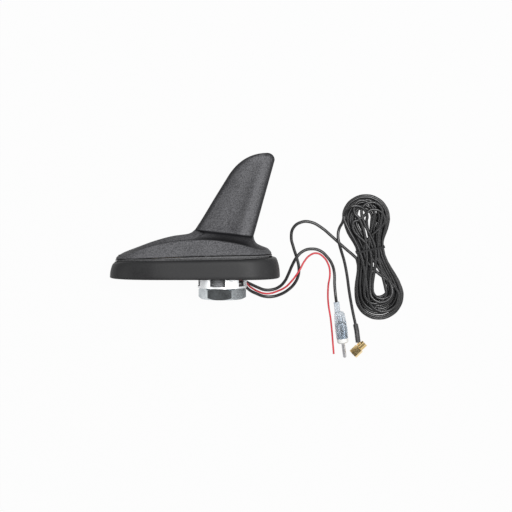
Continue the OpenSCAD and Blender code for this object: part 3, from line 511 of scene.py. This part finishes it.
def grain_wave(group, start, place):
    """Spark-eroded mould grain: small rounded cells of uneven size, with a faint cloud of tone."""
    cells = group.nodes.new("ShaderNodeTexVoronoi")
    cells.feature = "SMOOTH_F1"
    cells.inputs["Smoothness"].default_value = 0.6
    cells.inputs["Randomness"].default_value = 1.0
    group.links.new(start.outputs["Scale"], cells.inputs["Scale"])
    group.links.new(place, cells.inputs["Vector"])
    speck = noise(group, place, 1050, 3.0, 0.7)
    height = maths(group, "ADD", maths(group, "MULTIPLY", cells.outputs["Distance"], -0.9), speck)
    tone = maths(group, "ADD", maths(group, "MULTIPLY", speck, 0.88),
        maths(group, "MULTIPLY", noise(group, place, 45, 2.0), 0.12))
    return spread(group, tone, 0.4, 0.62, 0.3, 1.0), height


grain = effect("moulded_grain", grain_wave, {"Scale": 1100.0, "Depth": 0.16})
# Where the painted light share is low the plastic falls to its darker colour as painted shade; where it is
# raised the light tone is a painted highlight
cover_plastic = finish("grained_plastic", (0.01, 0.01, 0.0115), (0.148, 0.148, 0.156), 0.5, 0.62, grain,
    kept_mask="painted_light_share", Specular_IOR_Level=0.08)
cover.data.materials.append(cover_plastic)


# Base plate. A moulded plate of dark plastic under the cover, which carries the casting and the screws.
# Only its rim shows, as a thin band that stands out a little past the cover, with a groove below it.
plate_foot, plate_top = 4.0, 7.0
# The gasket's upper edge: its height and slope, and where and how much it droops at nose and tail
edge_height, edge_rise = 17.4, 0.0205
nose_droop, nose_droop_x, nose_droop_l = 3.3, -80, 20
tail_droop, tail_droop_x, tail_droop_l = 0.7, 35.5, 16


def shoulder_z(x):
    """Height of the gasket's upper edge along the aerial."""
    nose_share = max(0, nose_droop_x - x) / nose_droop_l
    tail_share = max(0, x - tail_droop_x) / tail_droop_l
    return edge_height + edge_rise * x - nose_droop * nose_share ** 2 - tail_droop * tail_share ** 2


def level(height):
    return lambda x: height


def over_shoulder(gap):
    return lambda x: shoulder_z(x) + gap


def below_rim(gap):
    return lambda x: rim_z(x) - gap


def rim_band(draw, height):
    """Ring along the cover's rim, drawn in by some mm, at a height that may change along it."""
    return [(x, y, height(x)) for x, y in cover_rim(draw)]


plate = loft("base_plate_moulding", [rim_band(draw, height) for draw, height in (
    (3.2, level(plate_foot)), (2.2, level(plate_foot)), (2.2, over_shoulder(1.4)),
    (-0.25, over_shoulder(1.5)), (-0.4, over_shoulder(1.75)), (-0.4, below_rim(1.0)),
    (-0.2, below_rim(0.75)), (0.4, below_rim(0.7)), (4.8, below_rim(0.7)), (4.9, level(plate_top)))])
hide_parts("base_plate")
plate.data.materials.append(finish("plate_plastic", (0.03, 0.03, 0.032), (0.17, 0.17, 0.175), 0.5, 0.62,
    grain, Scale=1500.0, Depth=0.1, Specular_IOR_Level=0.16))


# Gasket. A soft rubber skirt round the foot, squeezed between the aerial and the roof. It has leaning
# flanks, a rounded shoulder and a drooping nose; underneath, a foot runs round a shallow hollow, and a
# round pad takes the collar. It is one loft from the stud's hole, under the foot and up to its ledge.
skirt_nose, skirt_tail, skirt_half, flank_draft = -100, 51.5, 33, 0.0699
foot_in, foot_nose_l, foot_tail_l = 7, 46.5, 30.5
hole_radius, pad_radius, hollow_z = 11.25, 23.8, 1.2


def skirt_ring(share, nose_in, tail_in, edge_in):
    """Ring of the skirt's flank at a share of its height, drawn in at nose, tail and flanks."""
    plan = outline(skirt_nose + nose_in, skirt_tail - tail_in, skirt_half, 50, 34, 2.5, 2.5)
    return [(x, y * (1 - (share * shoulder_z(x) * flank_draft + edge_in) / skirt_half),
        share * shoulder_z(x)) for x, y in plan]


skirt_foot = outline(skirt_nose + foot_in, skirt_tail - foot_in, skirt_half - foot_in, foot_nose_l,
    foot_tail_l, 2.4, 2.4)
foot_middle = (skirt_nose + skirt_tail) / 2
foot_reach = (skirt_tail - skirt_nose) / 2 - foot_in


def round_ring(radius, z):
    """Circle about the stud whose points face those of the foot's outline."""
    ring = []
    for x, y in skirt_foot:
        a = math.atan2(y / (skirt_half - foot_in), (x - foot_middle) / foot_reach)
        ring.append((radius * math.cos(a), radius * math.sin(a), z))
    return ring


underside = [round_ring(hole_radius, plate_foot), round_ring(hole_radius, 0.0), round_ring(pad_radius, 0.0),
    round_ring(pad_radius, hollow_z), [(x, y, hollow_z) for x, y in skirt_foot],
    [(x, y, 0.0) for x, y in skirt_foot]]
skirt_flank = [skirt_ring(*step) for step in (
    (0, 1.4, 1.2, 1.2), (0.008, 0.9, 0.8, 0.8), (0.03, 0.3, 0.25, 0.3), (0.07, 0, 0, 0),
    (0.2, 0.05, 0.05, 0), (0.4, 0.3, 0.3, 0), (0.58, 0.7, 0.8, 0), (0.72, 1.2, 1.4, 0),
    (0.82, 1.65, 1.95, 0.02), (0.9, 2.15, 2.5, 0.15), (0.95, 2.55, 2.95, 0.45),
    (0.98, 3.0, 3.4, 0.95), (0.995, 3.6, 4.0, 1.6), (1.0, 4.3, 4.7, 2.3))]
ledge = [rim_band(-1.3, over_shoulder(0.6)), rim_band(-0.6, over_shoulder(0.55)),
    rim_band(-0.6, level(plate_foot))]
gasket = loft("gasket_moulding", underside + skirt_flank + ledge, closed_start=False)
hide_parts("gasket_skirt")


def rubber_wave(group, start, place):
    """Smooth rubber: broad clouds of bloom and a very fine matt tooth."""
    cloud = maths(group, "ADD", maths(group, "MULTIPLY", noise(group, place, 30, 3.0), 0.6),
        maths(group, "MULTIPLY", noise(group, place, 900, 3.0), 0.4))
    return spread(group, cloud, 0.36, 0.64), noise(group, place, start.outputs["Scale"], 4.0, 0.65)


rubber = effect("rubber_bloom", rubber_wave, {"Scale": 1300.0, "Depth": 0.07})
gasket.data.materials.append(finish("gasket_rubber", (0.014, 0.014, 0.015), (0.028, 0.028, 0.029), 0.42, 0.56,
    rubber, Specular_IOR_Level=0.2))


# Seal and grommet. Two small mouldings of soft black rubber: a ring pressed between stud and gasket,
# and the grommet in the stud's side slot, which holds the leads where they leave.
def dress(names, material):
    """Gives solids of the frame a material."""
    for name in names:
        nodes[name].data.materials.clear()
        nodes[name].data.materials.append(material)


soft_rubber = finish("soft_rubber", (0.016, 0.016, 0.017), (0.03, 0.03, 0.031), 0.5, 0.65, rubber,
    Scale=1900.0)
dress(("stud_seal", "cable_grommet"), soft_rubber)


# Collar and nut. A steel cup with windows and a toothed edge that bites the roof from below, and the
# hexagonal nut that draws it up. Both are zinc plated, with faint blotches and tool marks; the nut is
# more weathered and shinier than the collar's matt wall.
def plating_wave(group, start, place):
    """Zinc plate: broad blotches and fine tool marks."""
    blotch = noise(group, place, 90, 4.0, 0.6)
    fine = noise(group, place, start.outputs["Scale"], 4.0, 0.7)
    tone = maths(group, "ADD", maths(group, "MULTIPLY", blotch, 0.55), maths(group, "MULTIPLY", fine, 0.45))
    return spread(group, tone, 0.38, 0.62), fine


plating = effect("zinc_plating", plating_wave, {"Scale": 900.0, "Depth": 0.05})
bright_zinc = finish("bright_zinc", (0.95, 0.96, 0.97), (0.84, 0.86, 0.88), 0.36, 0.46, plating, metallic=0.6)
nut_zinc = finish("nut_zinc", (0.62, 0.66, 0.68), (0.36, 0.39, 0.41), 0.16, 0.26, plating, metallic=1.0,
    Depth=0.06)
dress(("clamp_collar",), bright_zinc)
dress(("hex_nut",), nut_zinc)


# Zinc casting. A flange that is screwed into the base plate, with a hollow threaded stud through the
# gasket. The thread's slopes are a helical wave in the material, whose colour is painted shade, darker in
# the roots and lighter on the crests, and its crests are wound on the stud as a ridge, which stops at the
# slot for the leads.
thread_pitch = 1.5


def thread_and_root_shade_wave(group, start, place):
    """Thread about the stud's own axis, below the flange, with a cast surface's clouds and painted shade in
    its roots.
    """
    turn = group.nodes.new("ShaderNodeMapping")
    turn.vector_type = "TEXTURE"
    turn.inputs["Location"].default_value = laid(0, 0, 0)
    turn.inputs["Rotation"].default_value = (math.radians(-94), 0, 0)
    group.links.new(place, turn.inputs["Vector"])
    axes = group.nodes.new("ShaderNodeSeparateXYZ")
    group.links.new(turn.outputs["Vector"], axes.inputs["Vector"])
    angle = maths(group, "ARCTAN2", axes.outputs["Y"], axes.outputs["X"])
    rise = maths(group, "MULTIPLY", axes.outputs["Z"], start.outputs["Threads per metre"])
    phase = maths(group, "ADD", rise, maths(group, "DIVIDE", angle, 2 * math.pi))
    slope = maths(group, "PINGPONG", phase, 0.5)
    outside = maths(group, "LESS_THAN", axes.outputs["Z"], -0.0002)
    height = maths(group, "MULTIPLY", maths(group, "MULTIPLY", slope, 2), outside)
    return spread(group, maths(group, "ADD", height, noise(group, place, 400, 3.0)), 0.3, 1.5), height


thread = effect("stud_thread_and_root_shade", thread_and_root_shade_wave, {"Threads per metre": 667.0, "Depth": 0.9})
# The darker colour lies in the thread's roots and the lighter on its crests: painted shade
cast_zinc_and_root_shade = finish("cast_zinc_and_root_shade", (0.34, 0.35, 0.37), (0.66, 0.67, 0.69), 0.5, 0.4, thread, metallic=0.3)
dress(("stud_casting",), cast_zinc_and_root_shade)

winding = bpy.data.node_groups.new("wound_ridge", "GeometryNodeTree")
knob = {label: winding.interface.new_socket(name=label, in_out="INPUT", socket_type=kind).identifier
    for label, kind in (("Radius", "NodeSocketFloat"), ("Pitch", "NodeSocketFloat"),
        ("Turns", "NodeSocketFloat"), ("Ridge", "NodeSocketFloat"), ("Slot edge", "NodeSocketFloat"),
        ("Slot foot", "NodeSocketFloat"), ("Finish", "NodeSocketMaterial"))}
winding.interface.new_socket(name="Geometry", in_out="OUTPUT", socket_type="NodeSocketGeometry")
start, end = winding.nodes.new("NodeGroupInput"), winding.nodes.new("NodeGroupOutput")
helix = winding.nodes.new("GeometryNodeCurveSpiral")
helix.inputs["Resolution"].default_value = 48
for label, source in (("Start Radius", start.outputs["Radius"]), ("End Radius", start.outputs["Radius"]),
        ("Rotations", start.outputs["Turns"]),
        ("Height", maths(winding, "MULTIPLY", start.outputs["Pitch"], start.outputs["Turns"]))):
    winding.links.new(source, helix.inputs[label])
upright = winding.nodes.new("GeometryNodeSetCurveNormal")
upright.mode = "Z_UP"
winding.links.new(helix.outputs["Curve"], upright.inputs["Curve"])
profile = winding.nodes.new("GeometryNodeCurvePrimitiveCircle")
profile.inputs["Resolution"].default_value = 4
winding.links.new(start.outputs["Ridge"], profile.inputs["Radius"])
sweep = winding.nodes.new("GeometryNodeCurveToMesh")
sweep.inputs["Fill Caps"].default_value = True
winding.links.new(upright.outputs["Curve"], sweep.inputs["Curve"])
winding.links.new(profile.outputs["Curve"], sweep.inputs["Profile Curve"])
spot = winding.nodes.new("GeometryNodeInputPosition")
axes = winding.nodes.new("ShaderNodeSeparateXYZ")
winding.links.new(spot.outputs["Position"], axes.inputs["Vector"])
in_slot = maths(winding, "MULTIPLY",
    maths(winding, "GREATER_THAN", axes.outputs["X"], start.outputs["Slot edge"]),
    maths(winding, "GREATER_THAN", axes.outputs["Z"], start.outputs["Slot foot"]))
trim = winding.nodes.new("GeometryNodeDeleteGeometry")
trim.domain = "FACE"
winding.links.new(sweep.outputs["Mesh"], trim.inputs["Geometry"])
winding.links.new(in_slot, trim.inputs["Selection"])
whole = winding.nodes.new("GeometryNodeRealizeInstances")
winding.links.new(trim.outputs["Geometry"], whole.inputs["Geometry"])
paint = winding.nodes.new("GeometryNodeSetMaterial")
winding.links.new(whole.outputs["Geometry"], paint.inputs["Geometry"])
winding.links.new(start.outputs["Finish"], paint.inputs["Material"])
winding.links.new(paint.outputs["Geometry"], end.inputs["Geometry"])

ridge_foot = -18.2
ridge = bpy.data.objects.new("stud_ridge", bpy.data.meshes.new("stud_ridge_start"))
scene.collection.objects.link(ridge)
wind = ridge.modifiers.new("wind", "NODES")
wind.node_group = winding
for label, value in (("Radius", 10.7), ("Pitch", thread_pitch), ("Turns", 11.6), ("Ridge", 0.42),
        ("Slot edge", 6.5), ("Slot foot", 9.6), ("Finish", cast_zinc_and_root_shade)):
    wind[knob[label]] = value
wound = bpy.data.meshes.new_from_object(ridge.evaluated_get(bpy.context.evaluated_depsgraph_get()))
ridge.modifiers.remove(wind)
ridge.data = wound
for corner in wound.vertices:
    corner.co = laid(corner.co.x, corner.co.y, corner.co.z + ridge_foot)
wound.update()
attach(ridge, "root")


# Boards and what they carry. Green boards with tracks on the casting's pillars and upright in the fin,
# a tinned shielding can, a fired ceramic patch, a moulded socket and a folded copper radiator.
def track_wave(group, start, place):
    """Copper tracks under the solder mask: straight lines of uneven spacing in both directions."""
    bricks = group.nodes.new("ShaderNodeTexBrick")
    bricks.inputs["Mortar Size"].default_value = 0.04
    bricks.inputs["Bias"].default_value = -0.3
    group.links.new(start.outputs["Scale"], bricks.inputs["Scale"])
    group.links.new(place, bricks.inputs["Vector"])
    return bricks.outputs["Fac"], maths(group, "ADD", bricks.outputs["Fac"], noise(group, place, 800))


tracks = effect("board_tracks", track_wave, {"Scale": 90.0, "Depth": 0.05})
board_green = finish("board_green", (0.01, 0.07, 0.025), (0.02, 0.13, 0.05), 0.24, 0.3, tracks)
tinned = finish("tinned_steel", (0.62, 0.62, 0.6), (0.5, 0.5, 0.49), 0.28, 0.4, plating, metallic=1.0)
fin_green = finish("fin_board_green", (0.015, 0.1, 0.035), (0.02, 0.13, 0.05), 0.26, 0.34, tracks, Scale=40.0)
ceramic = finish("fired_ceramic", (0.48, 0.38, 0.26), (0.56, 0.46, 0.33), 0.45, 0.6, rubber)
header_plastic = finish("header_plastic", (0.02, 0.02, 0.022), (0.04, 0.04, 0.043), 0.4, 0.5, grain,
    Depth=0.03)
copper = finish("copper_foil", (0.62, 0.25, 0.11), (0.72, 0.34, 0.18), 0.2, 0.36, plating, metallic=1.0)
for name, material in (("circuit_board", board_green), ("fin_board", fin_green), ("shield_can", tinned),
        ("satellite_patch", ceramic), ("board_header", header_plastic), ("fin_radiator", copper),
        ("inner_leads", black_sheath)):
    dress((name,), material)


# Screws. Plated steel screws with crossed recesses, which hold the cover, the board and the casting.
# They are cut in the solids, so here they only get their steel.
steel = finish("screw_steel", (0.55, 0.55, 0.56), (0.42, 0.42, 0.44), 0.26, 0.4, plating, metallic=1.0)
dress(("cover_screws", "board_screws", "casting_screws"), steel)


# Radio plug. A clear body of soft vinyl, dull and a little blue, moulded over a nickel plated barrel,
# with a white ring in front of it and a plain steel pin.
clear_vinyl = finish("clear_vinyl", (0.5, 0.56, 0.62), (0.7, 0.74, 0.78), 0.1, 0.2, sheath,
    Transmission_Weight=0.85, IOR=1.42, Depth=0.004)
nickel = finish("nickel_plate", (0.5, 0.5, 0.51), (0.62, 0.62, 0.63), 0.2, 0.3, sheath, metallic=1.0,
    Depth=0.004)
white_ring = finish("white_ring", (0.78, 0.78, 0.76), (0.86, 0.86, 0.84), 0.36, 0.48, rubber, Depth=0.03)
pin_steel = finish("pin_steel", (0.4, 0.4, 0.41), (0.52, 0.52, 0.53), 0.26, 0.38, plating, metallic=1.0)
for name, material in (("plug_body", clear_vinyl), ("plug_barrel", nickel), ("plug_ring", white_ring),
        ("plug_pin", pin_steel)):
    dress((name,), material)


# Satellite connector. A turned elbow, its coupling nut and its pin in gold plate, round a white
# insulator. A black sleeve is shrunk over the joint with the lead, and a nylon strap ties the hank.
gold = finish("gold_plate", (0.86, 0.62, 0.28), (0.92, 0.74, 0.42), 0.16, 0.28, plating, metallic=1.0,
    Depth=0.03)
dress(("connector_elbow", "coupling_nut", "connector_pin"), gold)
dress(("connector_insulator",), white_ring)
shrunk_sleeve = finish("shrunk_sleeve", (0.02, 0.02, 0.021), (0.034, 0.034, 0.035), 0.42, 0.56, sheath)
dress(("shrink_sleeve",), shrunk_sleeve)
tie_nylon = finish("tie_nylon", (0.01, 0.01, 0.011), (0.02, 0.02, 0.021), 0.5, 0.6, sheath,
    Specular_IOR_Level=0.2)
dress(("hank_tie",), tie_nylon)


# Floor. A wide white sheet of paper under the aerial. Seen by the camera, in a reflection or through
# the clear plug it is mostly plain white, so the shadows on it stay faint.
paper_white = 0.97
floor_mesh = bpy.data.meshes.new("floor")
floor_mesh.from_pydata([(-0.3, -0.4, 0), (0.41, -0.4, 0), (0.41, 0.34, 0), (-0.3, 0.34, 0)], [],
    [(0, 1, 2, 3)])
floor = bpy.data.objects.new("floor", floor_mesh)
scene.collection.objects.link(floor)
floor.location.z = -0.0001
paper = bpy.data.materials.new("white_paper")
paper.use_nodes = True
floor_mesh.materials.append(paper)
tree = paper.node_tree
matt = tree.nodes["Principled BSDF"]
matt.inputs["Base Color"].default_value = (0.3, 0.3, 0.3, 1)
matt.inputs["Roughness"].default_value = 0.9
matt.inputs["Specular IOR Level"].default_value = 0.1
glow = tree.nodes.new("ShaderNodeEmission")
glow.inputs["Strength"].default_value = 1.0
path = tree.nodes.new("ShaderNodeLightPath")
seen = maths(tree, "MAXIMUM", maths(tree, "MAXIMUM", path.outputs["Is Camera Ray"],
    path.outputs["Is Glossy Ray"]), path.outputs["Is Transmission Ray"])
blend = tree.nodes.new("ShaderNodeMixShader")
tree.links.new(maths(tree, "MULTIPLY", seen, paper_white), blend.inputs[0])
tree.links.new(matt.outputs["BSDF"], blend.inputs[1])
tree.links.new(glow.outputs["Emission"], blend.inputs[2])
tree.links.new(blend.outputs["Shader"], tree.nodes["Material Output"].inputs["Surface"])


# Studio. White all round for the camera. Reflections show it darker towards the horizon, with a dark
# patch overhead, and matt surfaces get a soft light from above.
patch_direction = (0, 0.13, 0.9915)
world = bpy.data.worlds.new("studio")
scene.world = world
world.use_nodes = True
tree = world.node_tree
way = tree.nodes.new("ShaderNodeTexCoord")
toward = tree.nodes.new("ShaderNodeVectorMath")
toward.operation = "DOT_PRODUCT"
toward.inputs[1].default_value = patch_direction
tree.links.new(way.outputs["Generated"], toward.inputs[0])
overhead = spread(tree, toward.outputs["Value"], 0.8, 0.93, 1.0, 0.04)
walls = spread(tree, toward.outputs["Value"], 0.0, 0.5, 0.5, 0.92)
path = tree.nodes.new("ShaderNodeLightPath")
matt_share = maths(tree, "MULTIPLY", path.outputs["Is Diffuse Ray"],
    spread(tree, toward.outputs["Value"], 0.3, 1.0, 0.0, 0.42))
shiny_share = maths(tree, "MULTIPLY", path.outputs["Is Glossy Ray"],
    maths(tree, "MULTIPLY", overhead, walls))
seen = maths(tree, "MAXIMUM", path.outputs["Is Camera Ray"], path.outputs["Is Transmission Ray"])
tree.links.new(maths(tree, "ADD", seen, maths(tree, "ADD", matt_share, shiny_share)),
    tree.nodes["Background"].inputs["Strength"])
tree.nodes["Background"].inputs["Color"].default_value = (1, 1, 1, 1)


# Lamps. A key high on the right, which draws lines along the leads, and two weak ones low at the sides,
# which edge the forms. Each is a square area lamp turned to the middle of the scene.
aim = Vector((0.05, 0, 0))
for name, place, size, power_w in (
        ("key", (0.34, 0.3, 1.3), 0.45, 18.0),
        ("edge", (1.2, 0.0, 0.6), 0.3, 2.0),
        ("left", (-1.1, 0.0, 0.6), 0.3, 2.0)):
    lamp = bpy.data.objects.new(name, bpy.data.lights.new(name, "AREA"))
    lamp.data.size = size
    lamp.data.energy = power_w
    lamp.location = place
    lamp.rotation_euler = (aim - Vector(place)).to_track_quat("-Z", "Y").to_euler()
    scene.collection.objects.link(lamp)
